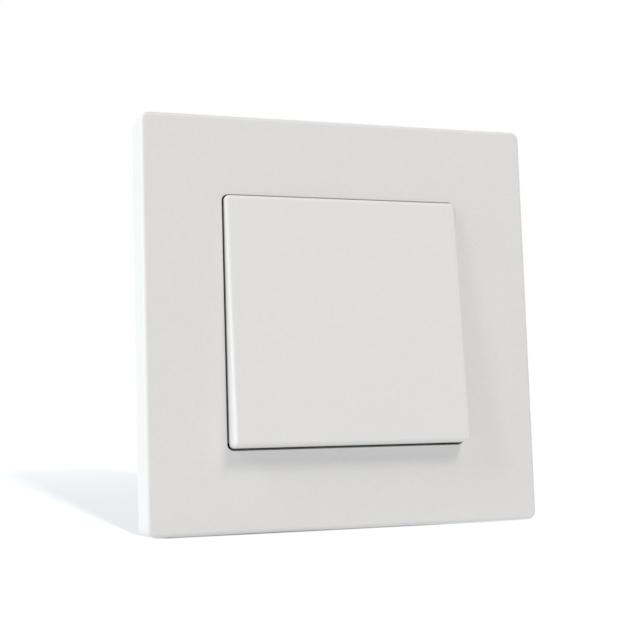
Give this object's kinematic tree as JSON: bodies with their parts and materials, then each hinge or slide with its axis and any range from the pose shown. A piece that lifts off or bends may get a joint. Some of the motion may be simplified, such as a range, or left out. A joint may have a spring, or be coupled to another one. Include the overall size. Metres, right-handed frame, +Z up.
{
  "type": "light switch",
  "caption": "Square white rocker light switch for a wall box, with cover frame, tilting rocker, contact mechanism, push-in terminals and spreading claws.",
  "frame": {"origin": "middle of the switch in the plane of the wall, half way between the wall box screws", "axes": "+X to the right seen from the room, +Y into the wall, +Z up"},
  "size_m": [0.082, 0.0426, 0.082],
  "materials": {
    "white_plastic": "satin moulded plastic with a fine grain",
    "housing_plastic": "moulded plastic, fine spark grain",
    "cradle_plastic": "dark moulded plastic",
    "plunger_nylon": "natural nylon",
    "release_plastic": "orange moulded plastic",
    "zinc_steel": "zinc plated steel",
    "spring_steel": "spring steel",
    "brass": "stamped brass",
    "copper": "rolled copper strip",
    "silver": "silver contact rivet"
  },
  "bodies": {
    "switch_body": {"cover_frame": "white_plastic", "support_plate": "zinc_steel", "bearing_cover": "housing_plastic", "pivot_pin": "zinc_steel", "housing": "housing_plastic", "terminal_cover": "housing_plastic", "front_screws": "zinc_steel", "rear_screws": "zinc_steel", "common_terminal": "brass", "lower_terminal": "brass", "upper_terminal": "brass", "fixed_tips": "silver", "clamp_spring_lower_left": "spring_steel", "clamp_spring_lower_right": "spring_steel", "clamp_spring_upper_left": "spring_steel", "clamp_spring_upper_right": "spring_steel", "claw_pin_left": "zinc_steel", "claw_pin_right": "zinc_steel"},
    "rocker_unit": {"rocker": "white_plastic", "cradle": "cradle_plastic", "plunger_spring": "spring_steel"},
    "plunger_unit": {"plunger": "plunger_nylon"},
    "seesaw_unit": {"seesaw_contact": "copper", "seesaw_tips": "silver"},
    "release_left_unit": {"release_button_left": "release_plastic"},
    "claw_screw_left_unit": {"claw_screw_left": "zinc_steel"},
    "claw_nut_left_unit": {"claw_nut_left": "zinc_steel"},
    "claw_left_unit": {"claw_left": "zinc_steel"},
    "release_right_unit": {"release_button_right": "release_plastic"},
    "claw_screw_right_unit": {"claw_screw_right": "zinc_steel"},
    "claw_nut_right_unit": {"claw_nut_right": "zinc_steel"},
    "claw_right_unit": {"claw_right": "zinc_steel"}
  },
  "joints": [
    {"name": "rocker_tilt", "type": "hinge", "parent": "switch_body", "child": "rocker_unit", "pos_m": [0, -0.007, 0], "axis": [1, 0, 0], "range_deg": [0, 7.4]},
    {"name": "plunger_press", "type": "slide", "parent": "rocker_unit", "child": "plunger_unit", "axis": [0, -0.9979, 0.0645], "range_m": [0, 0.0008], "stiffness_N_per_m": 900, "springref_m": -0.003, "deforming": ["plunger_spring"]},
    {"name": "seesaw_rock", "type": "hinge", "parent": "switch_body", "child": "seesaw_unit", "pos_m": [0, 0.01272, 0], "axis": [1, 0, 0], "range_deg": [-12, 0]},
    {"name": "release_left_press", "type": "slide", "parent": "switch_body", "child": "release_left_unit", "axis": [0, -1, 0], "range_m": [0, 0.0012], "stiffness_N_per_m": 800, "springref_m": -0.0015, "deforming": ["clamp_spring_lower_left", "clamp_spring_upper_left"]},
    {"name": "claw_screw_left_turn", "type": "hinge", "parent": "switch_body", "child": "claw_screw_left_unit", "pos_m": [-0.027, 0, 0], "axis": [0, 1, 0], "range_deg": [0, 1170]},
    {"name": "claw_nut_left_travel", "type": "slide", "parent": "switch_body", "child": "claw_nut_left_unit", "axis": [0, -1, 0], "range_m": [0, 0.00162]},
    {"name": "claw_left_swing", "type": "hinge", "parent": "switch_body", "child": "claw_left_unit", "pos_m": [-0.0222, 0.0035, 0], "axis": [0, 0, 1], "range_deg": [0, 22]},
    {"name": "release_right_press", "type": "slide", "parent": "switch_body", "child": "release_right_unit", "axis": [0, -1, 0], "range_m": [0, 0.0012], "stiffness_N_per_m": 800, "springref_m": -0.0015, "deforming": ["clamp_spring_lower_right", "clamp_spring_upper_right"]},
    {"name": "claw_screw_right_turn", "type": "hinge", "parent": "switch_body", "child": "claw_screw_right_unit", "pos_m": [0.027, 0, 0], "axis": [0, 1, 0], "range_deg": [0, 1170]},
    {"name": "claw_nut_right_travel", "type": "slide", "parent": "switch_body", "child": "claw_nut_right_unit", "axis": [0, -1, 0], "range_m": [0, 0.00162]},
    {"name": "claw_right_swing", "type": "hinge", "parent": "switch_body", "child": "claw_right_unit", "pos_m": [0.0222, 0.0035, 0], "axis": [0, 0, -1], "range_deg": [0, 22]}
  ],
  "couplings": [
    {"joint": "seesaw_rock", "follows": "rocker_tilt", "ratio": -1.6216},
    {"joint": "claw_screw_left_turn", "follows": "claw_nut_left_travel", "rad_per_m": 12566},
    {"joint": "claw_left_swing", "follows": "claw_nut_left_travel", "rad_per_m": 236.27},
    {"joint": "claw_screw_right_turn", "follows": "claw_nut_right_travel", "rad_per_m": 12566},
    {"joint": "claw_right_swing", "follows": "claw_nut_right_travel", "rad_per_m": 236.27}
  ]
}
